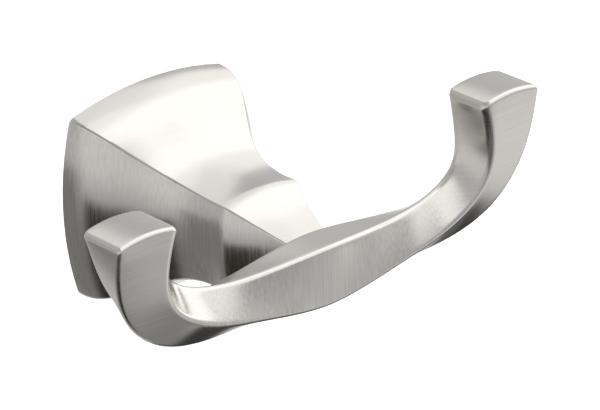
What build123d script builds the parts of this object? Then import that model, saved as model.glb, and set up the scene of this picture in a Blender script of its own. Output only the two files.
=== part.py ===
from build123d import *
import math
import os

# A double robe hook for a bathroom wall.
# The wall is the plane Y = 0, the hook stands out from it towards -Y, and +Z is up.
# The origin is on the wall, at the middle of the flange. Lengths are in millimetres.

# Post, from the flange at the wall to the nose behind the bar
flange_half_width = 25.6
flange_half_height = 26.1
neck_half_width = 12.15
neck_half_height = 12.4
nose_half_width = 6.0
nose_half_height = 6.1
neck_reach = 46.2
shoulder_reach = 18.0
shoulder_drop = 0.6
waist_reach = 18.9
waist_dip = 2.05
nose_sags = (0.5, 0.4)
nose_overlap = 1.6
side_bulge = 0.146
nose_bulge = 0.05
ridge_bevel = 0.5
post_wall = 2.5
hollow_reach = 30.0

# Twisted bar: the upright section at its middle and the square-on section at each cap
bar_height = 16.7
bar_depth = 10.6
bar_back_reach = 62.6
bar_level = -1.2
cap_width = 19.1
cap_depth = 15.0
cap_back_reach = 61.2
cap_centre = 59.8
cap_level = 30.2
cap_dome_rise = 1.4
cap_edge_bevel = 0.45

# Handles of the bar's centre line, which bends up through the corner under each cap
straight_reach = 26.9
corner_inset = 0.6
corner_dip = 4.1
corner_outset = 0.3
corner_level = 13.7

# Rounding of the bar's four long edges, at the middle and at the cap
front_top_radii = (1.2, 2.2)
back_top_radii = (1.0, 2.0)
back_bottom_radii = (1.0, 1.0)
front_bottom_radii = (1.0, 2.4)
rounding_flats = 3

# How far forward the back top edge is drawn at each quarter of the way to the cap
back_edge_sags = (0.15, 0.55, 1.75)

# Wall bracket, a folded steel channel
sheet = 2.0
bend_inner_radius = 0.6
bracket_half_width = 14.0
bracket_half_height = 18.5
leg_reach = 7.0
leg_lean = 12.0
leg_corner_radius = 2.5
screw_hole_radius = 2.4
screw_hole_spacing = 22.0

# Grub screw in the underside of the flange, and the lip at the top that hooks on the bracket
grub_radius = 2.0
grub_length = 8.0
grub_tip_radius = 0.8
grub_end_chamfer = 0.3
grub_socket_across = 2.0
grub_socket_depth = 2.4
grub_reach = 5.0
boss_wall = 1.7
boss_length = 3.0
lip_half_width = 8.0
lip_start = 0.8
lip_end = 4.2
thread_clearance = 0.05
seat_clearance = 0.15

# How finely the swept shapes are drawn
section_count = 10
hollow_stations = (0, 0.35, 0.7, 1)


def cushion(half_width, half_height, bulge, bevel, reach):
    """A square with four bowed sides and cut corners, at a distance from the wall."""
    right, top = half_width, half_height
    bow = bulge * half_width
    sides = [
        ThreePointArc((-right, -top), (0, -top - bow), (right, -top)),
        ThreePointArc((right, -top), (right + bow, 0), (right, top)),
        ThreePointArc((right, top), (0, top + bow), (-right, top)),
        ThreePointArc((-right, top), (-right - bow, 0), (-right, -top)),
    ]
    outline = make_face(sides)
    if bevel:
        outline = chamfer(outline.vertices(), bevel)
    return Plane(origin=(0, -reach, 0), x_dir=(1, 0, 0), z_dir=(0, -1, 0)) * outline


def between(start, end, share):
    return start + (end - start) * share


def post_curve():
    """Half width against distance from the wall: a steep shoulder, then a long hollow sweep."""
    start = (0, flange_half_width)
    shoulder = (shoulder_reach, flange_half_width - shoulder_drop)
    waist = (waist_reach, neck_half_width - waist_dip)
    return Bezier(start, shoulder, waist, (neck_reach, neck_half_width))


def post_height(half_width):
    share = (half_width - neck_half_width) / (flange_half_width - neck_half_width)
    return between(neck_half_height, flange_half_height, share)


def half_width_at(reach):
    """Half width of the bell at a distance from the wall, found by halving the curve."""
    curve = post_curve()
    low, high = 0.0, 1.0
    while high - low > 1e-6:
        middle = (low + high) / 2
        if (curve @ middle).X < reach:
            low = middle
        else:
            high = middle
    return (curve @ low).Y


def bell():
    """The outside of the post from the wall to the neck."""
    curve = post_curve()
    sections = []
    for step in range(section_count + 1):
        point = curve @ (step / section_count)
        height = post_height(point.Y)
        sections.append(cushion(point.Y, height, side_bulge, ridge_bevel, point.X))
    return loft(sections)


def hollow():
    """The cored inside of the bell, one wall thickness in, as straight tapers."""
    sections = []
    for share in hollow_stations:
        reach = share * hollow_reach
        half_width = half_width_at(reach)
        width = half_width - post_wall
        height = post_height(half_width) - post_wall
        sections.append(cushion(width, height, side_bulge, 0, reach))
    return loft(sections, ruled=True)


def nose():
    """The short bell that runs from the crease at the neck into the back of the bar."""
    end_reach = bar_back_reach + nose_overlap
    sections = []
    for share, sag in ((0, 0), (0.3, nose_sags[0]), (0.6, nose_sags[1]), (1, 0)):
        width = between(neck_half_width, nose_half_width, share) - sag
        height = between(neck_half_height, nose_half_height, share) - sag
        bulge = between(side_bulge, nose_bulge, share)
        reach = between(neck_reach, end_reach, share)
        sections.append(cushion(width, height, bulge, ridge_bevel, reach))
    return loft(sections)


def smooth_value(stations, share):
    """A smooth value through evenly spaced stations, level at the middle, straight past 1."""
    last = len(stations) - 1
    slopes = [0.0]
    for index in range(1, last):
        slopes.append((stations[index + 1] - stations[index - 1]) / 2)
    slopes.append(1.5 * (stations[last] - stations[last - 1]) - 0.5 * slopes[last - 1])
    if share > 1:
        return stations[last] + slopes[last] * last * (share - 1)
    index = min(int(share * last), last - 1)
    u = share * last - index
    from_start = stations[index] * (2 * u**3 - 3 * u**2 + 1)
    from_end = stations[index + 1] * (3 * u**2 - 2 * u**3)
    lean = slopes[index] * (u**3 - 2 * u**2 + u) + slopes[index + 1] * (u**3 - u**2)
    return from_start + from_end + lean


# How each edge travels from the middle section to the cap, at the quarter stations.
# The first list is its share of the way in depth, the second its level as a share of the
# half height that a straight change from bar to cap would have there.
edge_travel = {
    "front_top": ((0.29, 0.52, 0.72), (0.84, 0.90, 1.08)),
    "back_top": ((0.25, 0.5, 0.75), (0.74, -0.04, -0.59)),
    "back_bottom": ((0.32, 0.61, 0.78), (-0.84, -0.78, -0.93)),
    "front_bottom": ((0.34, 0.51, 0.69), (-0.51, -0.06, 0.50)),
}
edge_radii = {
    "front_top": front_top_radii,
    "back_top": back_top_radii,
    "back_bottom": back_bottom_radii,
    "front_bottom": front_bottom_radii,
}
bar_front_reach = bar_back_reach + bar_depth
cap_front_reach = cap_back_reach + cap_depth
edge_ends = {
    "front_top": ((bar_front_reach, 1), (cap_back_reach, 1)),
    "back_top": ((bar_back_reach, 1), (cap_back_reach, -1)),
    "back_bottom": ((bar_back_reach, -1), (cap_front_reach, -1)),
    "front_bottom": ((bar_front_reach, -1), (cap_front_reach, 1)),
}


def edge_stations(name):
    """Depths and levels of one long edge at the five stations of half a bar."""
    (start_reach, start_side), (end_reach, end_side) = edge_ends[name]
    depth_shares, level_shares = edge_travel[name]
    reaches = [start_reach]
    levels = [start_side * bar_height / 2]
    for quarter in (1, 2, 3):
        reaches.append(between(start_reach, end_reach, depth_shares[quarter - 1]))
        if name == "back_top":
            reaches[quarter] += back_edge_sags[quarter - 1]
        half_size = between(bar_height, cap_width, quarter / 4) / 2
        levels.append(level_shares[quarter - 1] * half_size)
    reaches.append(end_reach)
    levels.append(end_side * cap_width / 2)
    return reaches, levels


def corner_points(before, corner, after, radius):
    """Points along the rounding of one corner, which is drawn as a few flats."""
    to_before = (before - corner).normalized()
    to_after = (after - corner).normalized()
    half_angle = math.radians(to_before.get_angle(to_after)) / 2
    centre = corner + (to_before + to_after).normalized() * (radius / math.sin(half_angle))
    start = corner + to_before * (radius / math.tan(half_angle)) - centre
    end = corner + to_after * (radius / math.tan(half_angle)) - centre
    turn = start.get_signed_angle(end, Vector(0, 0, 1))
    return [
        centre + start.rotate(Axis.Z, turn * step / rounding_flats)
        for step in range(rounding_flats + 1)
    ]


def bar_section(place, heading, share):
    """The four-sided section of the bar, part way through its turn from middle to cap."""
    corners = []
    radii = []
    for name in ("front_top", "back_top", "back_bottom", "front_bottom"):
        reaches, levels = edge_stations(name)
        corners.append(Vector(-smooth_value(reaches, share), smooth_value(levels, share), 0))
        start_radius, end_radius = edge_radii[name]
        radii.append(between(start_radius, end_radius, min(share, 1)))
    points = []
    for index in range(4):
        after = corners[(index + 1) % 4]
        points += corner_points(corners[index - 1], corners[index], after, radii[index])
    outline = make_face(Polyline(*points, close=True))
    plane = Plane(origin=(place.X, 0, place.Z), x_dir=(0, 1, 0), z_dir=heading)
    return plane * outline


def bar_path():
    """Centre line of the right half: level at the middle, then swept up to the cap."""
    return Bezier(
        (0, 0, bar_level),
        (straight_reach, 0, bar_level),
        (cap_centre - corner_inset, 0, bar_level - corner_dip),
        (cap_centre + corner_outset, 0, corner_level),
        (cap_centre, 0, cap_level),
    )


def twisted_bar():
    """One loft from cap to cap, run on past each cap for the dome to trim."""
    path = bar_path()
    overrun = 3 * cap_dome_rise
    half = []
    for step in range(section_count + 1):
        share = step / section_count
        half.append((path @ share, path % share, share))
    end, heading = path @ 1, path % 1
    half.append((end + heading * overrun, heading, 1 + overrun / path.length))
    sections = []
    for place, heading, share in reversed(half[1:]):
        mirrored = Vector(-place.X, 0, place.Z)
        sections.append(bar_section(mirrored, Vector(heading.X, 0, -heading.Z), share))
    for place, heading, share in half:
        sections.append(bar_section(place, heading, share))
    return loft(sections)


def domed_caps(bar):
    """Trim each end of the bar to a shallow dome across its width, and bevel its rim."""
    dome_radius = (cap_width**2 / 4 + cap_dome_rise**2) / (2 * cap_dome_rise)
    long_enough = 4 * cap_depth
    middle_depth = -cap_back_reach - cap_depth / 2
    for side in (-1, 1):
        centre = (side * cap_centre, middle_depth, cap_level + cap_dome_rise - dome_radius)
        dome = Plane(origin=centre, x_dir=(1, 0, 0), z_dir=(0, -1, 0)) * Cylinder(
            dome_radius, long_enough
        )
        above = Pos(side * cap_centre, middle_depth, cap_level + cap_width / 2) * Box(
            2 * cap_width, long_enough, 2 * cap_width
        )
        bar = bar - (above - dome)
    rims = [face for face in bar.faces() if face.center().Z > cap_level + cap_dome_rise / 2]
    rim_edges = [edge for face in rims for edge in face.edges()]
    return chamfer(rim_edges, cap_edge_bevel)


def leg_line(reach):
    """Height of the outside of the bracket's top leg, which leans away from the middle."""
    return bracket_half_height + reach * math.tan(math.radians(leg_lean))


def hook_body():
    outer = bell()
    body = outer - hollow()

    lip_top = flange_half_height * (1 + side_bulge)
    lip_outline = Polyline(
        (lip_start, leg_line(lip_start) + seat_clearance),
        (lip_end, leg_line(lip_end) + seat_clearance),
        (lip_end, lip_top),
        (lip_start, lip_top),
        close=True,
    )
    side_plane = Plane(origin=(-lip_half_width, 0, 0), x_dir=(0, -1, 0), z_dir=(-1, 0, 0))
    lip = extrude(side_plane * make_face(lip_outline), -2 * lip_half_width)
    body = body + (lip & outer)

    boss_radius = grub_radius + boss_wall
    floor_level = -(flange_half_height + side_bulge * flange_half_width)
    boss_height = post_wall + boss_length
    boss_level = floor_level + boss_height / 2
    boss = Pos(0, -grub_reach, boss_level) * Cylinder(boss_radius, boss_height)
    body = body + (boss & outer)
    thread = Pos(0, -grub_reach, boss_level) * Cylinder(
        grub_radius + thread_clearance, 3 * boss_height
    )
    body = body - thread

    body = body + nose() + domed_caps(twisted_bar())
    body.label = "hook_body"
    return body


def wall_bracket():
    lean = math.radians(leg_lean)
    inner_step = sheet / math.cos(lean)
    outer_half = [(0, bracket_half_height), (leg_reach, leg_line(leg_reach))]
    inner_half = [
        (leg_reach, leg_line(leg_reach) - inner_step),
        (sheet, leg_line(sheet) - inner_step),
    ]
    top = outer_half + inner_half
    bottom = [(reach, -height) for reach, height in reversed(top)]
    outline = make_face(Polyline(*top, *bottom, close=True))
    outer_corners = [v for v in outline.vertices() if abs(v.X) < sheet / 4]
    outline = fillet(outer_corners, sheet + bend_inner_radius)
    inner_corners = [
        outline.vertices().sort_by_distance((sheet, side * (leg_line(sheet) - inner_step), 0))[0]
        for side in (-1, 1)
    ]
    outline = fillet(inner_corners, bend_inner_radius)
    side_plane = Plane(
        origin=(-bracket_half_width, 0, 0), x_dir=(0, -1, 0), z_dir=(-1, 0, 0)
    )
    bracket = extrude(side_plane * outline, -2 * bracket_half_width)
    leg_corners = [
        edge
        for edge in bracket.edges().filter_by(Axis.Z, tolerance=leg_lean + 1)
        if edge.center().Y < -leg_reach + sheet / 2 and abs(edge.center().X) > bracket_half_width / 2
    ]
    bracket = fillet(leg_corners, leg_corner_radius)
    for side in (-1, 1):
        place = Pos(0, -sheet / 2, side * screw_hole_spacing / 2)
        bracket = bracket - place * Rot(90, 0, 0) * Cylinder(screw_hole_radius, 3 * sheet)
    bracket.label = "wall_bracket"
    return bracket


def set_screw():
    tip_level = -leg_line(grub_reach + grub_tip_radius) - seat_clearance
    low_level = tip_level - grub_length
    cone = grub_radius - grub_tip_radius
    outline = Polyline(
        (0, low_level),
        (grub_radius - grub_end_chamfer, low_level),
        (grub_radius, low_level + grub_end_chamfer),
        (grub_radius, tip_level - cone),
        (grub_tip_radius, tip_level),
        (0, tip_level),
        close=True,
    )
    screw = revolve(Plane.XZ * make_face(outline), Axis.Z)
    hexagon = RegularPolygon(grub_socket_across / 2, 6, major_radius=False)
    socket = extrude(Pos(0, 0, low_level) * hexagon, grub_socket_depth)
    screw = Pos(0, -grub_reach, 0) * (screw - socket)
    screw.label = "set_screw"
    return screw


os.makedirs("parts", exist_ok=True)
for piece in (hook_body(), wall_bracket(), set_screw()):
    export_step(piece, f"parts/{piece.label}.step")
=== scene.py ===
import bmesh
import bpy
import math
from mathutils import Matrix, Vector


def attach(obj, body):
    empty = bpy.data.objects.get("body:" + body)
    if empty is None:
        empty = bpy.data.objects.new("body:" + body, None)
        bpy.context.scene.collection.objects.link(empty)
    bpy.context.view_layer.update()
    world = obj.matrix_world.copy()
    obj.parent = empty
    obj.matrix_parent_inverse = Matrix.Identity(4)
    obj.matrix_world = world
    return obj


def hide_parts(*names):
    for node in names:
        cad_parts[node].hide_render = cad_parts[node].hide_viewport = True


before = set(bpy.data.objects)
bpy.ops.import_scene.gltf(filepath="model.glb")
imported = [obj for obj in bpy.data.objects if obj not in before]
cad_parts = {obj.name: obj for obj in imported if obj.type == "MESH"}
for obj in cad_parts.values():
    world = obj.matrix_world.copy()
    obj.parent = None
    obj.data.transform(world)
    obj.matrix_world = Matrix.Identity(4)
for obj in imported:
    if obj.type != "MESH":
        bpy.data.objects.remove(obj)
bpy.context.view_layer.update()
scene = bpy.context.scene
scene.view_settings.view_transform = "Standard"
mm = 0.001
print("frame loaded:", ", ".join(sorted(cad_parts)))


def deselectAll():
    if bpy.context.object and bpy.context.object.mode != "OBJECT":
        bpy.ops.object.mode_set(mode="OBJECT")
    bpy.ops.object.select_all(action="DESELECT")


def pick(piece):
    deselectAll()
    piece.select_set(True)
    bpy.context.view_layer.objects.active = piece


def between(start, end, share):
    return start + (end - start) * share


def directionOf(azimuth, elevation):
    # outwards from the hook: azimuth 0 is straight out into the room, and 90 is to the right
    a, e = math.radians(azimuth), math.radians(elevation)
    return Vector((math.sin(a) * math.cos(e), -math.cos(a) * math.cos(e), math.sin(e)))


# Camera: the long lens and the high left stand of the photograph
cameraPlace = {
    "aim": (0.0, -0.045, 0.0),
    "azimuth": -39.70,
    "elevation": 26.12,
    "roll": -1.75,
    "distance": 1.140,
    "right": 0.01025,
    "up": 0.00797,
    "lens": 265.5,
    "sensor": 36,
    "clip": (0.01, 20),
}


def addCamera():
    turned = math.radians(cameraPlace["azimuth"])
    roll = math.radians(cameraPlace["roll"])
    back = directionOf(cameraPlace["azimuth"], cameraPlace["elevation"])
    level = Vector((math.cos(turned), math.sin(turned), 0))
    upright = back.cross(level)
    right = level * math.cos(roll) + upright * math.sin(roll)
    up = upright * math.cos(roll) - level * math.sin(roll)
    stand = Vector(cameraPlace["aim"]) + back * cameraPlace["distance"]
    stand += right * cameraPlace["right"] + up * cameraPlace["up"]
    data = bpy.data.cameras.new("camera")
    data.lens = cameraPlace["lens"]
    data.sensor_width = cameraPlace["sensor"]
    data.clip_start, data.clip_end = cameraPlace["clip"]
    camera = bpy.data.objects.new("camera", data)
    scene.collection.objects.link(camera)
    turn = Matrix((right, up, back)).transposed()
    camera.matrix_world = Matrix.Translation(stand) @ turn.to_4x4()
    scene.camera = camera


addCamera()
print("camera placed")


# Satin nickel: fine brushing that runs up and down on the walls, along the bar on its top
# and across the prongs. How flat a face is, or how far it looks aside, goes by the size of
# its normal's Z or X. The prongs begin and are complete at the two distances, in metres.
nickel = {
    "light": (0.70, 0.68, 0.645, 1),
    "dark": (0.60, 0.58, 0.545, 1),
    # the next two: colour and strength of the painted dark reflection line along the post's ridges
    "ridge": (0.22, 0.20, 0.18, 1),
    "ridgeShadeStrength": 0.8,
    "roughness": (0.15, 0.24),
    "sideRoughness": 0.12,
    "anisotropy": 0.5,
    "grain": 1900.0,
    "grainStretch": 0.010,
    "cloud": 60.0,
    "cloudShare": 0.15,
    "bump": 0.03,
    "bumpDepth": 0.0002,
    "calmTop": 0.85,
    "calmProng": 0.62,
    "flat": (0.55, 0.85),
    "aside": (0.55, 0.9),
    "prong": (0.038, 0.052),
}
# noise values that give a finish its two shades and its two roughnesses, and their middle
noise = {"shades": (0.35, 0.65), "roughness": (0.3, 0.7), "middle": 0.5}


def newMaterial(name):
    material = bpy.data.materials.new(name)
    material.use_nodes = True
    nodes = material.node_tree.nodes
    nodes.clear()
    return material, nodes, material.node_tree.links


def addNode(nodes, kind, **values):
    node = nodes.new(kind)
    for name, value in values.items():
        setattr(node, name, value)
    return node


def feed(links, socket, value):
    # a socket takes another node's output or a plain value
    if isinstance(value, bpy.types.NodeSocket):
        links.new(value, socket)
    else:
        socket.default_value = value


def calculate(nodes, links, operation, *values):
    node = addNode(nodes, "ShaderNodeMath", operation=operation)
    for socket, value in zip(node.inputs, values):
        feed(links, socket, value)
    return node.outputs["Value"]


def vectorMath(nodes, links, operation, *values, result="Vector"):
    node = addNode(nodes, "ShaderNodeVectorMath", operation=operation)
    for socket, value in zip(node.inputs, values):
        feed(links, socket, value)
    return node.outputs[result]


def separate(nodes, links, value):
    node = addNode(nodes, "ShaderNodeSeparateXYZ")
    links.new(value, node.inputs["Vector"])
    return node.outputs


def blend(nodes, links, kind, share, first, second):
    node = addNode(nodes, "ShaderNodeMix", data_type=kind)
    for name, value in (("Factor", share), ("A", first), ("B", second)):
        feed(links, node.inputs[name], value)
    return node.outputs["Result"]


def blendShaders(nodes, links, share, first, second):
    node = addNode(nodes, "ShaderNodeMixShader")
    for socket, value in zip(node.inputs, (share, first, second)):
        links.new(value, socket)
    return node.outputs["Shader"]


def ramp(nodes, links, value, low, high, start, end):
    node = addNode(nodes, "ShaderNodeMapRange")
    node.inputs["From Min"].default_value = low
    node.inputs["From Max"].default_value = high
    node.inputs["To Min"].default_value = start
    node.inputs["To Max"].default_value = end
    links.new(value, node.inputs["Value"])
    return node.outputs["Result"]


def grainNoise(nodes, links, place, scale, stretch, detail=4.0):
    mapping = addNode(nodes, "ShaderNodeMapping")
    mapping.inputs["Scale"].default_value = stretch
    links.new(place, mapping.inputs["Vector"])
    grain = addNode(nodes, "ShaderNodeTexNoise")
    grain.inputs["Scale"].default_value = scale
    grain.inputs["Detail"].default_value = detail
    links.new(mapping.outputs["Vector"], grain.inputs["Vector"])
    return grain.outputs["Fac"]


def addMetal(nodes, links):
    output = addNode(nodes, "ShaderNodeOutputMaterial")
    shader = addNode(nodes, "ShaderNodeBsdfPrincipled")
    links.new(shader.outputs["BSDF"], output.inputs["Surface"])
    shader.inputs["Metallic"].default_value = 1
    return shader


def shadesOf(nodes, links, look, tone):
    share = ramp(nodes, links, tone, *noise["shades"], 0, 1)
    return blend(nodes, links, "RGBA", share, look["dark"], look["light"])


def roughnessOf(nodes, links, look, tone):
    return ramp(nodes, links, tone, *noise["roughness"], *look["roughness"])


def finishZones(nodes, links, place, normal):
    # what looks up or down, the rest of the prongs, and what looks aside on the prongs
    facing = separate(nodes, links, normal)
    facesUp = calculate(nodes, links, "ABSOLUTE", facing["Z"])
    facesAside = calculate(nodes, links, "ABSOLUTE", facing["X"])
    sideways = calculate(nodes, links, "ABSOLUTE", separate(nodes, links, place)["X"])
    flat = ramp(nodes, links, facesUp, *nickel["flat"], 0, 1)
    steep = ramp(nodes, links, flat, 0, 1, 1, 0)
    aside = ramp(nodes, links, facesAside, *nickel["aside"], 0, 1)
    inProng = ramp(nodes, links, sideways, *nickel["prong"], 0, 1)
    onProng = calculate(nodes, links, "MULTIPLY", inProng, steep)
    onSide = calculate(nodes, links, "MULTIPLY", inProng, aside)
    return flat, onProng, onSide


def brushing(nodes, links, place, flat, onProng):
    # upright grain on the walls, along the bar on what is flat, and round the prongs
    scale, thin = nickel["grain"], nickel["grainStretch"]
    upright = grainNoise(nodes, links, place, scale, (1, 1, thin))
    along = grainNoise(nodes, links, place, scale, (thin, 1, 1))
    around = grainNoise(nodes, links, place, scale, (thin, thin, 1))
    walls = blend(nodes, links, "FLOAT", flat, upright, along)
    brushed = blend(nodes, links, "FLOAT", onProng, walls, around)
    calmTop = ramp(nodes, links, flat, 0, 1, 0, nickel["calmTop"])
    calmProng = ramp(nodes, links, onProng, 0, 1, 0, nickel["calmProng"])
    calm = calculate(nodes, links, "MAXIMUM", calmTop, calmProng)
    return blend(nodes, links, "FLOAT", calm, brushed, noise["middle"])


def satinNickel():
    material, nodes, links = newMaterial("satinNickel")
    shader = addMetal(nodes, links)
    place = addNode(nodes, "ShaderNodeTexCoord").outputs["Object"]
    normal = addNode(nodes, "ShaderNodeNewGeometry").outputs["Normal"]
    flat, onProng, onSide = finishZones(nodes, links, place, normal)
    grain = brushing(nodes, links, place, flat, onProng)
    cloudy = grainNoise(nodes, links, place, nickel["cloud"], (1, 1, 1), detail=2.0)
    tone = blend(nodes, links, "FLOAT", nickel["cloudShare"], grain, cloudy)
    shades = shadesOf(nodes, links, nickel, tone)
    # painted reflection: the post's ridges get thin dark lines painted into the base colour, standing
    # in for the dark surroundings they reflect
    ridge = addNode(nodes, "ShaderNodeAttribute", attribute_name="ridge").outputs["Fac"]
    ridgeShade = ramp(nodes, links, ridge, 0, 1, 0, nickel["ridgeShadeStrength"])
    colour = blend(nodes, links, "RGBA", ridgeShade, shades, nickel["ridge"])
    links.new(colour, shader.inputs["Base Color"])

    duller = ramp(nodes, links, onSide, 0, 1, 0, nickel["sideRoughness"])
    rough = calculate(nodes, links, "ADD", roughnessOf(nodes, links, nickel, grain), duller)
    links.new(rough, shader.inputs["Roughness"])
    bump = addNode(nodes, "ShaderNodeBump")
    bump.inputs["Strength"].default_value = nickel["bump"]
    bump.inputs["Distance"].default_value = nickel["bumpDepth"]
    links.new(grain, bump.inputs["Height"])
    links.new(bump.outputs["Normal"], shader.inputs["Normal"])

    # the blur follows the tangent, which runs across the grain of each zone
    level = vectorMath(nodes, links, "CROSS_PRODUCT", (0, 0, 1), normal)
    wallBlur = blend(nodes, links, "VECTOR", flat, level, (0, 1, 0))
    prongBlur = vectorMath(nodes, links, "CROSS_PRODUCT", normal, level)
    blur = blend(nodes, links, "VECTOR", onProng, wallBlur, prongBlur)
    links.new(vectorMath(nodes, links, "NORMALIZE", blur), shader.inputs["Tangent"])
    shader.inputs["Anisotropic"].default_value = nickel["anisotropy"]
    return material


def alongBezier(points, share):
    while len(points) > 1:
        points = [between(a, b, share) for a, b in zip(points, points[1:])]
    return points[0]


def growRings(name, rings):
    # one ring at its place, then an extrusion for each section that follows
    deselectAll()
    bpy.ops.mesh.primitive_circle_add(vertices=len(rings[0]), radius=mm)
    piece = bpy.context.object
    piece.name = name
    piece.data.name = name
    bpy.ops.object.mode_set(mode="EDIT")
    for index, ring in enumerate(rings):
        if index:
            bpy.ops.mesh.extrude_edges_indiv()
        drawn = bmesh.from_edit_mesh(piece.data)
        grown = [vertex for vertex in drawn.verts if vertex.select]
        for vertex, place in zip(grown, ring):
            vertex.co = Vector(place) * mm
        bmesh.update_edit_mesh(piece.data)
    bpy.ops.object.mode_set(mode="OBJECT")
    piece.location = (0, 0, 0)
    return piece


# How the meshes are closed, merged and smoothed
meshing = {
    "nearRing": 0.00001,
    "fillShares": (0.8, 0.6, 0.4, 0.2),
    "mergeDistance": 0.000001,
    "mirrorMerge": 0.00001,
    "smoothAngle": 22,
    "normalWeight": 60,
}


def closeEnd(piece, ring, pushed=None):
    # the open end at that ring is filled with smaller rings down to one point, and where a
    # function is given, it pushes them into shape
    pick(piece)
    bpy.ops.object.mode_set(mode="EDIT")
    bpy.ops.mesh.select_mode(type="VERT")
    bpy.ops.mesh.select_all(action="DESELECT")
    drawn = bmesh.from_edit_mesh(piece.data)
    places = [Vector(place) * mm for place in ring]
    for vertex in drawn.verts:
        if any(edge.is_boundary for edge in vertex.link_edges):
            nearest = min((vertex.co - place).length for place in places)
            vertex.select = nearest < meshing["nearRing"]
    drawn.select_flush(True)
    rim = [vertex.co.copy() for vertex in drawn.verts if vertex.select]
    middle = sum(rim, Vector()) / len(rim)
    for share in meshing["fillShares"]:
        bpy.ops.mesh.extrude_edges_indiv()
        drawn = bmesh.from_edit_mesh(piece.data)
        grown = [vertex for vertex in drawn.verts if vertex.select]
        for vertex, start in zip(grown, rim):
            vertex.co = middle + (start - middle) * share
            if pushed:
                pushed(vertex.co)
        bmesh.update_edit_mesh(piece.data)
    bpy.ops.mesh.extrude_edges_indiv()
    bpy.ops.mesh.merge(type="CENTER")
    drawn = bmesh.from_edit_mesh(piece.data)
    for vertex in drawn.verts:
        if vertex.select and pushed:
            pushed(vertex.co)
    bmesh.update_edit_mesh(piece.data)
    bpy.ops.object.mode_set(mode="OBJECT")


def faceOutwards(piece):
    pick(piece)
    bpy.ops.object.mode_set(mode="EDIT")
    bpy.ops.mesh.select_all(action="SELECT")
    bpy.ops.mesh.remove_doubles(threshold=meshing["mergeDistance"])
    bpy.ops.mesh.normals_make_consistent(inside=False)
    bpy.ops.object.mode_set(mode="OBJECT")


def smoothPiece(piece):
    faceOutwards(piece)
    bpy.ops.object.shade_smooth_by_angle(angle=math.radians(meshing["smoothAngle"]))
    weighted = piece.modifiers.new("weighted", "WEIGHTED_NORMAL")
    weighted.keep_sharp = True
    weighted.weight = meshing["normalWeight"]
    bpy.ops.object.modifier_apply(modifier=weighted.name)


# Post: a square bell from the wall to the neck, then a short bell into the bar, in mm.
# Flange, neck and nose are half sizes across and up, and shoulder and waist are the reach
# and the half width of the curve's handles.
post = {
    "flange": (25.6, 26.1),
    "neck": (12.15, 12.4),
    "nose": (6.0, 6.1),
    "neckReach": 46.2,
    "noseReach": 64.2,
    "shoulder": (18.0, 25.0),
    "waist": (18.9, 10.1),
    "noseStations": (0, 0.3, 0.6, 1),
    "noseSags": (0.5, 0.4),
    "bow": 0.146,
    "noseBow": 0.05,
    "ridgeRadius": 0.45,
    "rimCorner": 1.5,
    "rimCornerReach": 6.0,
    "underRise": 1.3,
    "underRiseReach": 26.0,
    "wall": 2.5,
    "hollowReach": 30.0,
    "hollowShares": (1, 0.7, 0.35, 0),
    "hollowCorner": 0.2,
    "arcSteps": 200,
    "sidePoints": 12,
    "ridgePoints": 4,
    "bellSections": 44,
    "noseSections": 14,
    "creaseReach": 1.6,
    "creaseShares": (0.2, 0.4, 0.6, 0.8),
}


# Inside the hollow: the lip that hooks on the bracket, and the set screw's boss and hole
fixings = {
    "lipWidth": 16.0,
    "lipReach": (0.8, 4.2),
    "lipLevel": (18.82, 27.4),
    "lipLean": 12.0,
    "screwReach": 5.0,
    "bossRadius": 3.7,
    "bossLevel": (-27.4, -24.34),
    "holeRadius": 2.05,
    "holeLevel": (-32.0, -22.0),
    "roundPoints": 48,
}


def postHeight(halfWidth):
    wide, high = post["flange"]
    neckWide, neckHigh = post["neck"]
    return between(neckHigh, high, (halfWidth - neckWide) / (wide - neckWide))


def bellAt(share):
    reach = alongBezier([0, post["shoulder"][0], post["waist"][0], post["neckReach"]], share)
    wide = [post["flange"][0], post["shoulder"][1], post["waist"][1], post["neck"][0]]
    return reach, alongBezier(wide, share)


def bellWidth(reach):
    # half width of the bell at that reach, found by halving
    low, high = 0.0, 1.0
    closeEnough = 0.00001
    while high - low > closeEnough:
        middle = (low + high) / 2
        if bellAt(middle)[0] < reach:
            low = middle
        else:
            high = middle
    return bellAt(low)[1]


def sideArc(start, end, sag):
    # points on a bowed side, from corner to corner
    chord = end - start
    out = Vector((chord.y, -chord.x)).normalized()
    half = chord.length / 2
    radius = (half * half + sag * sag) / (2 * sag)
    centre = (start + end) / 2 - out * (radius - sag)
    sweep = math.asin(half / radius)
    along = chord.normalized()
    points = []
    for step in range(post["arcSteps"] + 1):
        turn = between(-sweep, sweep, step / post["arcSteps"])
        points.append(centre + along * (radius * math.sin(turn)) + out * (radius * math.cos(turn)))
    return points


def cushionRing(wide, high, bow, reach, ridge):
    # the square with bowed sides and rounded ridges, anticlockwise as seen from the room
    fade = max(1 - reach / post["underRiseReach"], 0)
    low = post["underRise"] * fade * fade * (3 - 2 * fade) - high
    corners = [Vector((-wide, low)), Vector((wide, low)), Vector((wide, high))]
    corners.append(Vector((-wide, high)))
    sides = []
    for index in range(4):
        arc = sideArc(corners[index], corners[(index + 1) % 4], bow * wide)
        start, end = arc[0], arc[-1]
        sides.append([p for p in arc if (p - start).length > ridge and (p - end).length > ridge])
    last = post["sidePoints"] - 1
    ring = []
    for index, side in enumerate(sides):
        for step in range(last + 1):
            ring.append(side[round(step * (len(side) - 1) / last)])
        following = (index + 1) % 4
        rounding = [side[-1], corners[following], sides[following][0]]
        for step in range(1, post["ridgePoints"]):
            ring.append(alongBezier(rounding, step / post["ridgePoints"]))
    return [(p.x, -reach, p.y) for p in ring]


def noseValue(values, share):
    # the cubic through the values at the four stations of the nose
    stations = post["noseStations"]
    total = 0
    for index, value in enumerate(values):
        weight = 1
        for other, station in enumerate(stations):
            if other != index:
                weight *= (share - station) / (stations[index] - station)
        total += value * weight
    return total


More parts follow.
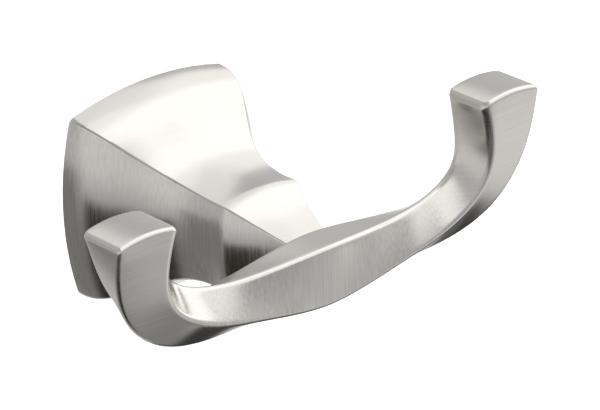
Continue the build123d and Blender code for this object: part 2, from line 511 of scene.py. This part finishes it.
def postRings():
    bow, wall, ridge = post["bow"], post["wall"], post["ridgeRadius"]
    rings = []
    for share in post["hollowShares"]:
        reach = share * post["hollowReach"]
        wide = bellWidth(reach)
        high = postHeight(wide)
        rings.append(cushionRing(wide - wall, high - wall, bow, reach, post["hollowCorner"]))
    for step in range(post["bellSections"] + 1):
        reach, wide = bellAt(step / post["bellSections"])
        rounder = max(1 - reach / post["rimCornerReach"], 0) ** 2
        corner = between(ridge, post["rimCorner"], rounder)
        rings.append(cushionRing(wide, postHeight(wide), bow, reach, corner))
    sags = (0, *post["noseSags"], 0)
    for step in range(1, post["noseSections"] + 1):
        share = step / post["noseSections"]
        sag = noseValue(sags, share)
        wide = between(post["neck"][0], post["nose"][0], share) - sag
        high = between(post["neck"][1], post["nose"][1], share) - sag
        bowNow = between(bow, post["noseBow"], share)
        reach = between(post["neckReach"], post["noseReach"], share)
        rings.append(cushionRing(wide, high, bowNow, reach, ridge))
    return softenCrease(rings)


def softenCrease(rings):
    # the crease at the neck is rounded off between a section before it and one after
    neck, reach = post["neckReach"], post["creaseReach"]
    sharp = rings[len(post["hollowShares"]) + post["bellSections"]]
    before = [ring for ring in rings if ring[0][1] > -neck + reach]
    after = [ring for ring in rings if ring[0][1] < -neck - reach]
    crease = []
    for share in post["creaseShares"]:
        ring = []
        for start, corner, end in zip(before[-1], sharp, after[0]):
            ring.append(alongBezier([Vector(start), Vector(corner), Vector(end)], share))
        crease.append(ring)
    return before + crease + after


def addLip():
    # the lip at the top of the hollow, whose lower face leans as the bracket's leg does
    deselectAll()
    start, end = fixings["lipReach"]
    low, high = fixings["lipLevel"]
    bpy.ops.mesh.primitive_cube_add(size=mm, location=(0, 0, 0))
    lip = bpy.context.object
    bpy.ops.object.mode_set(mode="EDIT")
    bpy.ops.transform.resize(value=(fixings["lipWidth"], end - start, high - low))
    middle = Vector((0, -(start + end) / 2, (low + high) / 2))
    bpy.ops.transform.translate(value=middle * mm)
    bpy.ops.mesh.select_mode(type="VERT")
    bpy.ops.mesh.select_all(action="DESELECT")
    drawn = bmesh.from_edit_mesh(lip.data)
    for vertex in drawn.verts:
        vertex.select = vertex.co.y < middle.y * mm and vertex.co.z < middle.z * mm
    drawn.select_flush(True)
    rise = (end - start) * math.tan(math.radians(fixings["lipLean"]))
    bpy.ops.transform.translate(value=(0, 0, rise * mm))
    bpy.ops.object.mode_set(mode="OBJECT")
    return lip


def addBoss(radius, low, high):
    deselectAll()
    bpy.ops.mesh.primitive_cylinder_add(
        vertices=fixings["roundPoints"],
        radius=radius * mm,
        depth=(high - low) * mm,
        location=(0, 0, 0),
    )
    boss = bpy.context.object
    bpy.ops.object.mode_set(mode="EDIT")
    middle = Vector((0, -fixings["screwReach"], (low + high) / 2))
    bpy.ops.transform.translate(value=middle * mm)
    bpy.ops.object.mode_set(mode="OBJECT")
    return boss


def combine(piece, other, operation):
    pick(piece)
    cut = piece.modifiers.new("combine", "BOOLEAN")
    cut.operation = operation
    cut.solver = "EXACT"
    cut.object = other
    bpy.ops.object.modifier_apply(modifier=cut.name)
    bpy.data.objects.remove(other)


def markRidgeShade(piece, ringCount):
    # marks the middle of each ridge for its painted dark reflection line: from nought at the wall
    # quickly up, then down to nought at the end of the nose
    shadeLines = piece.data.attributes.new("ridge", "FLOAT", "POINT")
    perSide = post["sidePoints"] + post["ridgePoints"] - 1
    middle = post["sidePoints"] + post["ridgePoints"] // 2 - 1
    outside = len(post["hollowShares"]) * 4 * perSide
    for index in range(outside, ringCount * 4 * perSide):
        if index % perSide == middle:
            reach = -piece.data.vertices[index].co.y / mm
            fade = min(reach / post["rimCornerReach"], 1)
            shadeLines.data[index].value = fade * max(1 - reach / post["noseReach"], 0)


def addPost():
    rings = postRings()
    piece = growRings("satin_post", rings)
    closeEnd(piece, rings[0])
    closeEnd(piece, rings[-1])
    markRidgeShade(piece, len(rings))
    faceOutwards(piece)
    combine(piece, addLip(), "UNION")
    combine(piece, addBoss(fixings["bossRadius"], *fixings["bossLevel"]), "UNION")
    combine(piece, addBoss(fixings["holeRadius"], *fixings["holeLevel"]), "DIFFERENCE")
    return piece


# Cross bar: a four-sided section that turns and flares from the middle to each cap, in mm.
# The cap is lifted at its back and front, and its rim is rounded at the back, outside, in
# front and inside.
bar = {
    "height": 16.7,
    "depth": 10.6,
    "backReach": 62.6,
    "level": -1.2,
    "capWidth": 19.1,
    "capDepth": 15.0,
    "capBackReach": 61.2,
    "capCentre": 59.8,
    "capLevel": 30.2,
    "domeRise": 1.4,
    "capLift": (0.25, 0.8),
    "rimRadii": (0.6, 1.3, 1.2, 1.7),
    "rimSteps": 6,
    "leastRadius": 0.15,
    "straightReach": 26.9,
    "cornerInset": 0.6,
    "cornerDip": 4.1,
    "cornerOutset": 0.3,
    "cornerLevel": 13.7,
    "backEdgeSags": (0.15, 0.55, 1.75),
    "sections": 72,
    "lastShare": 0.96,
    "sidePoints": 9,
    "edgePoints": 6,
}
# Each long edge: its radius at the middle and at the cap, and at each quarter of the way its
# share of the way in depth and its level as a share of the section's half height there
longEdges = {
    "frontTop": {"radii": (1.2, 2.2), "depths": (0.29, 0.52, 0.72), "levels": (0.84, 0.99, 1.13)},
    "backTop": {"radii": (1.0, 2.0), "depths": (0.25, 0.5, 0.75), "levels": (0.60, -0.04, -0.59)},
    "backBottom": {"radii": (1.0, 1.0), "depths": (0.32, 0.61, 0.78), "levels": (-0.89, -0.92, -1.01)},
    "frontBottom": {"radii": (1.0, 2.4), "depths": (0.34, 0.51, 0.69), "levels": (-0.37, 0.14, 0.53)},
}


def smoothValue(stations, share):
    # a curve through the even stations, which starts level and runs out straight
    last = len(stations) - 1
    slopes = [0.0]
    for index in range(1, last):
        slopes.append((stations[index + 1] - stations[index - 1]) / 2)
    slopes.append(1.5 * (stations[last] - stations[last - 1]) - 0.5 * slopes[last - 1])
    index = min(int(share * last), last - 1)
    u = share * last - index
    value = stations[index] * (2 * u**3 - 3 * u**2 + 1)
    value += stations[index + 1] * (3 * u**2 - 2 * u**3)
    value += slopes[index] * (u**3 - 2 * u**2 + u) + slopes[index + 1] * (u**3 - u**2)
    return value


def edgeStations(name):
    backReach, capBack = bar["backReach"], bar["capBackReach"]
    frontReach, capFront = backReach + bar["depth"], capBack + bar["capDepth"]
    ends = {
        "frontTop": ((frontReach, 1), (capBack, 1)),
        "backTop": ((backReach, 1), (capBack, -1)),
        "backBottom": ((backReach, -1), (capFront, -1)),
        "frontBottom": ((frontReach, -1), (capFront, 1)),
    }
    (startReach, startSide), (endReach, endSide) = ends[name]
    edge = longEdges[name]
    reaches = [startReach]
    levels = [startSide * bar["height"] / 2]
    for quarter in (1, 2, 3):
        reach = between(startReach, endReach, edge["depths"][quarter - 1])
        if name == "backTop":
            reach += bar["backEdgeSags"][quarter - 1]
        reaches.append(reach)
        halfSize = between(bar["height"], bar["capWidth"], quarter / 4) / 2
        levels.append(edge["levels"][quarter - 1] * halfSize)
    reaches.append(endReach)
    levels.append(endSide * bar["capWidth"] / 2)
    return reaches, levels


def roundedOutline(corners, radii):
    # the section's outline: an arc at each corner and even steps along each side
    arcs = []
    for index, corner in enumerate(corners):
        toBefore = (corners[index - 1] - corner).normalized()
        toAfter = (corners[(index + 1) % 4] - corner).normalized()
        half = toBefore.angle(toAfter) / 2
        radius = radii[index]
        centre = corner + (toBefore + toAfter).normalized() * (radius / math.sin(half))
        start = corner + toBefore * (radius / math.tan(half)) - centre
        end = corner + toAfter * (radius / math.tan(half)) - centre
        arc = []
        for step in range(bar["edgePoints"] + 1):
            share = step / bar["edgePoints"]
            outward = between(start, end, share)
            if 0 < share < 1:
                outward = start.normalized().slerp(end.normalized(), share)
            arc.append(centre + outward.normalized() * radius)
        arcs.append(arc)
    outline = []
    for index, arc in enumerate(arcs):
        outline += arc
        following = arcs[(index + 1) % 4][0]
        for step in range(1, bar["sidePoints"]):
            outline.append(between(arc[-1], following, step / bar["sidePoints"]))
    return outline


def sectionCorners(share):
    corners = []
    radii = []
    for name, edge in longEdges.items():
        reaches, levels = edgeStations(name)
        corners.append(Vector((-smoothValue(reaches, share), smoothValue(levels, share))))
        radii.append(between(*edge["radii"], share))
    return corners, radii


def barLine(share):
    centre = bar["capCentre"]
    across = [0, bar["straightReach"], centre - bar["cornerInset"]]
    across += [centre + bar["cornerOutset"], centre]
    level = bar["level"]
    levels = [level, level, level - bar["cornerDip"], bar["cornerLevel"], bar["capLevel"]]
    return Vector((alongBezier(across, share), 0, alongBezier(levels, share)))


def barRing(share):
    place = barLine(share)
    nudge = 0.001
    ahead = barLine(min(share + nudge, 1)) - barLine(max(share - nudge, 0))
    ahead.normalize()
    corners, radii = sectionCorners(share)
    ring = []
    for point in roundedOutline(corners, radii):
        ring.append((place.x - ahead.z * point.y, point.x, place.z + ahead.x * point.y))
    return ring


def domeLevel(across, reach):
    # height of the domed cap, which leans up a little towards its front edge
    rise = bar["domeRise"]
    radius = (bar["capWidth"] ** 2 / 4 + rise**2) / (2 * rise)
    offset = across - bar["capCentre"]
    back, front = bar["capLift"]
    lift = between(back, front, (reach - bar["capBackReach"]) / bar["capDepth"])
    return bar["capLevel"] + rise - radius + math.sqrt(radius**2 - offset**2) + lift


def capRings():
    # the rim rounds over to the domed top
    corners, radii = sectionCorners(1)
    frontTop, backTop, backBottom, frontBottom = corners
    sideRims = bar["rimRadii"]
    back, outside, front, inside = sideRims
    perSide = bar["edgePoints"] + bar["sidePoints"]
    rings = []
    for step in range(bar["rimSteps"] + 1):
        turn = math.radians(90 * step / bar["rimSteps"])
        shrink = 1 - math.cos(turn)
        moved = [
            frontTop + Vector((-back, -inside)) * shrink,
            backTop + Vector((-back, outside)) * shrink,
            backBottom + Vector((front, outside)) * shrink,
            frontBottom + Vector((front, -inside)) * shrink,
        ]
        smaller = []
        for index, radius in enumerate(radii):
            inset = (sideRims[index - 1] + sideRims[index]) / 2 * shrink
            smaller.append(max(radius - inset, bar["leastRadius"]))
        ring = []
        for place, point in enumerate(roundedOutline(moved, smaller)):
            side, along = divmod(place, perSide)
            share = min(along / bar["edgePoints"], 1)
            rim = between(sideRims[side - 1], sideRims[side], share)
            across = bar["capCentre"] - point.y
            drop = rim * (1 - math.sin(turn))
            ring.append((across, point.x, domeLevel(across, -point.x) - drop))
        rings.append(ring)
    return rings


def pushToDome(place):
    place.z = domeLevel(place.x / mm, -place.y / mm) * mm


def addBar():
    rings = []
    for step in range(bar["sections"] + 1):
        rings.append(barRing(bar["lastShare"] * step / bar["sections"]))
    rings += capRings()
    piece = growRings("satin_bar", rings)
    closeEnd(piece, rings[-1], pushToDome)
    pick(piece)
    mirror = piece.modifiers.new("mirror", "MIRROR")
    mirror.use_axis = (True, False, False)
    mirror.merge_threshold = meshing["mirrorMerge"]
    bpy.ops.object.modifier_apply(modifier=mirror.name)
    return piece


def addHook():
    metal = satinNickel()
    for piece in (addPost(), addBar()):
        smoothPiece(piece)
        piece.data.materials.clear()
        piece.data.materials.append(metal)
        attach(piece, "root")
        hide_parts("hook_body")


addHook()
print("hook made")


# Wall bracket and set screw keep their solids and get plated and blackened steel
bracketSteel = {
    "light": (0.62, 0.62, 0.60, 1),
    "dark": (0.50, 0.50, 0.49, 1),
    "roughness": (0.30, 0.45),
    "grain": 260.0,
}
screwSteel = {
    "light": (0.24, 0.24, 0.25, 1),
    "dark": (0.15, 0.15, 0.16, 1),
    "roughness": (0.32, 0.50),
    "grain": 900.0,
}


def plainSteel(name, look):
    material, nodes, links = newMaterial(name)
    shader = addMetal(nodes, links)
    place = addNode(nodes, "ShaderNodeTexCoord").outputs["Object"]
    mottle = grainNoise(nodes, links, place, look["grain"], (1, 1, 1), detail=6.0)
    links.new(shadesOf(nodes, links, look, mottle), shader.inputs["Base Color"])
    links.new(roughnessOf(nodes, links, look, mottle), shader.inputs["Roughness"])
    return material


def dressSteel(nodeName, material):
    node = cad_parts[nodeName]
    for slot in node.material_slots:
        slot.material = material


dressSteel("wall_bracket", plainSteel("platedSteel", bracketSteel))
dressSteel("set_screw", plainSteel("blackenedSteel", screwSteel))
print("bracket and screw dressed")


# Studio: a pale floor in a white room, a softbox high on the right, and a tent with grey
# cards that show in reflections only
studio = {
    "floorLevel": -0.30,
    "floorSize": 12.0,
    "floorClear": (1.2, 4.5),
    "floorPaint": (0.93, 0.93, 0.93, 1),
    "floorRoughness": 0.8,
    "floorGlow": 0.42,
    "white": (1, 1, 1, 1),
    "roomLight": 0.35,
    "tentRadius": 4.0,
    "tentSegments": 48,
    "tentLight": 0.60,
    "darkBelow": 0.045,
    "darkTint": (1.0, 0.80, 0.68, 1),
}
softbox = {
    "azimuth": 93,
    "elevation": 40,
    "distance": 1.6,
    "size": (1.8, 1.8),
    "power": 26.0,
}
# what the metal sees: azimuth from the room side and elevation of the card's middle, the
# angles out to its sides and to its top, its distance, brightness, and soft edges
cards = {
    "spill": (95, 38, 34, 46, 2.6, 1.30, (0.08, 0.10)),
    "key": (85, 36, 28, 50, 2.5, 1.60, (0.12, 0.05)),
    "highFront": (30, 47, 35, 18, 2.55, 1.30, (0.28, 0.15)),
    "frontGlow": (42, 25, 24, 14, 2.65, 1.20, (0.32, 0.30)),
    "frontRight": (50, 4, 16, 24, 2.7, 0.74, (0.35, 0.30)),
    "frontDim": (10, -4, 24, 24, 2.8, 0.50, (0.30, 0.20)),
    "leftWall": (-84, 15, 36, 31, 2.8, 0.82, (0.25, 0.16)),
    "leftBack": (-144, 12, 15, 12, 2.6, 0.34, (0.35, 0.40)),
    "highLeft": (-100, 58, 30, 14, 2.7, 0.45, (0.20, 0.20)),
    "backHigh": (152, 50, 22, 17, 2.62, 1.08, (0.30, 0.10)),
    "backWall": (153, 23, 16, 11, 2.4, 0.53, (0.40, 0.30)),
    "lowBack": (-132, -32, 31, 21, 2.3, 0.24, (0.28, 0.08)),
    "lowLeft": (-77, -42, 29, 23, 2.2, 0.04, (0.15, 0.04)),
    "cameraSide": (-26, -24, 34, 18, 2.1, 0.15, (0.20, 0.20)),
    "cameraLow": (-34, -60, 44, 21, 2.05, 0.03, (0.18, 0.08)),
    "lowFront": (28, -51, 27, 14, 2.0, 0.29, (0.15, 0.20)),
    "lowFrontRight": (57, -32, 16, 12, 1.95, 0.90, (0.25, 0.20)),
    "lowRight": (108, -45, 15, 15, 1.88, 0.14, (0.20, 0.12)),
    "underRight": (98, -59, 23, 18, 1.86, 0.05, (0.20, 0.06)),
    "sideRear": (140, -22, 15, 22, 1.8, 1.30, (0.35, 0.28)),
}


def glow(name, brightness, edges=None):
    # a light, which fades out towards its edges where they are soft; the darkest are brown
    material, nodes, links = newMaterial(name)
    output = addNode(nodes, "ShaderNodeOutputMaterial")
    shader = addNode(nodes, "ShaderNodeEmission")
    shader.inputs["Strength"].default_value = brightness
    if brightness < studio["darkBelow"]:
        shader.inputs["Color"].default_value = studio["darkTint"]
    light = shader.outputs["Emission"]
    if edges:
        parts = separate(nodes, links, addNode(nodes, "ShaderNodeTexCoord").outputs["Object"])
        border = 0.5  # a card is one wide before it is scaled
        masks = []
        for axis, soft in zip(("X", "Y"), edges):
            size = calculate(nodes, links, "ABSOLUTE", parts[axis])
            masks.append(ramp(nodes, links, size, border - soft, border, 1, 0))
        mask = calculate(nodes, links, "MULTIPLY", *masks)
        clear = addNode(nodes, "ShaderNodeBsdfTransparent").outputs["BSDF"]
        light = blendShaders(nodes, links, mask, clear, light)
    links.new(light, output.inputs["Surface"])
    return material


def seenInMetalOnly(card):
    card.visible_camera = False
    card.visible_diffuse = False
    card.visible_shadow = False
    card.visible_transmission = False
    card.visible_volume_scatter = False


def addCard(name, azimuth, elevation, besides, above, distance, brightness, edges):
    deselectAll()
    towards = directionOf(azimuth, elevation)
    bpy.ops.mesh.primitive_plane_add(size=1, location=towards * distance)
    card = bpy.context.object
    card.name = name
    beside = Vector((towards.y, -towards.x, 0)).normalized()
    turn = Matrix((beside, towards.cross(beside), towards)).transposed()
    card.rotation_mode = "QUATERNION"
    card.rotation_quaternion = turn.to_quaternion()
    wide = 2 * distance * math.tan(math.radians(besides))
    high = 2 * distance * math.tan(math.radians(above))
    card.scale = (wide, high, 1)
    card.data.materials.append(glow(name, brightness, edges))
    seenInMetalOnly(card)


def addTent():
    deselectAll()
    bpy.ops.mesh.primitive_uv_sphere_add(
        segments=studio["tentSegments"],
        ring_count=studio["tentSegments"] // 2,
        radius=studio["tentRadius"],
        location=(0, 0, 0),
    )
    tent = bpy.context.object
    tent.name = "tent"
    tent.data.materials.append(glow("tent", studio["tentLight"]))
    seenInMetalOnly(tent)


def addSoftbox():
    lamp = bpy.data.lights.new("softbox", "AREA")
    lamp.shape = "RECTANGLE"
    lamp.size, lamp.size_y = softbox["size"]
    lamp.energy = softbox["power"]
    holder = bpy.data.objects.new("softbox", lamp)
    holder.visible_glossy = False
    scene.collection.objects.link(holder)
    towards = directionOf(softbox["azimuth"], softbox["elevation"])
    holder.location = towards * softbox["distance"]
    holder.rotation_mode = "QUATERNION"
    holder.rotation_quaternion = towards.to_track_quat("Z", "Y")


def addFloor():
    deselectAll()
    bpy.ops.mesh.primitive_plane_add(
        size=studio["floorSize"], location=(0, 0, studio["floorLevel"])
    )
    floor = bpy.context.object
    floor.name = "floor"
    floor.visible_glossy = False
    material, nodes, links = newMaterial("paleFloor")
    output = addNode(nodes, "ShaderNodeOutputMaterial")
    paint = addNode(nodes, "ShaderNodeBsdfPrincipled")
    paint.inputs["Base Color"].default_value = studio["floorPaint"]
    paint.inputs["Roughness"].default_value = studio["floorRoughness"]
    paint.inputs["Emission Color"].default_value = studio["white"]
    cameraRay = addNode(nodes, "ShaderNodeLightPath").outputs["Is Camera Ray"]
    lift = ramp(nodes, links, cameraRay, 0, 1, 0, studio["floorGlow"])
    links.new(lift, paint.inputs["Emission Strength"])
    # clear from below, and it fades into the white room far from the hook
    fromBelow = addNode(nodes, "ShaderNodeNewGeometry").outputs["Backfacing"]
    place = addNode(nodes, "ShaderNodeTexCoord").outputs["Object"]
    far = vectorMath(nodes, links, "LENGTH", place, result="Value")
    faded = ramp(nodes, links, far, *studio["floorClear"], 0, 1)
    hidden = calculate(nodes, links, "MAXIMUM", fromBelow, faded)
    clear = addNode(nodes, "ShaderNodeBsdfTransparent").outputs["BSDF"]
    seen = blendShaders(nodes, links, hidden, paint.outputs["BSDF"], clear)
    links.new(seen, output.inputs["Surface"])
    floor.data.materials.append(material)


def addRoom():
    # an even light on the hook, and white to the camera and in reflections
    world = bpy.data.worlds.new("room")
    scene.world = world
    world.use_nodes = True
    nodes = world.node_tree.nodes
    links = world.node_tree.links
    nodes.clear()
    output = addNode(nodes, "ShaderNodeOutputWorld")
    rooms = []
    for strength in (studio["roomLight"], 1):
        room = addNode(nodes, "ShaderNodeBackground")
        room.inputs["Color"].default_value = studio["white"]
        room.inputs["Strength"].default_value = strength
        rooms.append(room.outputs["Background"])
    ray = addNode(nodes, "ShaderNodeLightPath").outputs
    seen = calculate(nodes, links, "MAXIMUM", ray["Is Camera Ray"], ray["Is Glossy Ray"])
    seen = calculate(nodes, links, "MAXIMUM", seen, ray["Is Transmission Ray"])
    links.new(blendShaders(nodes, links, seen, *rooms), output.inputs["Surface"])


addFloor()
addRoom()
addTent()
addSoftbox()
for cardName, facts in cards.items():
    addCard(cardName, *facts)
print("studio lit")
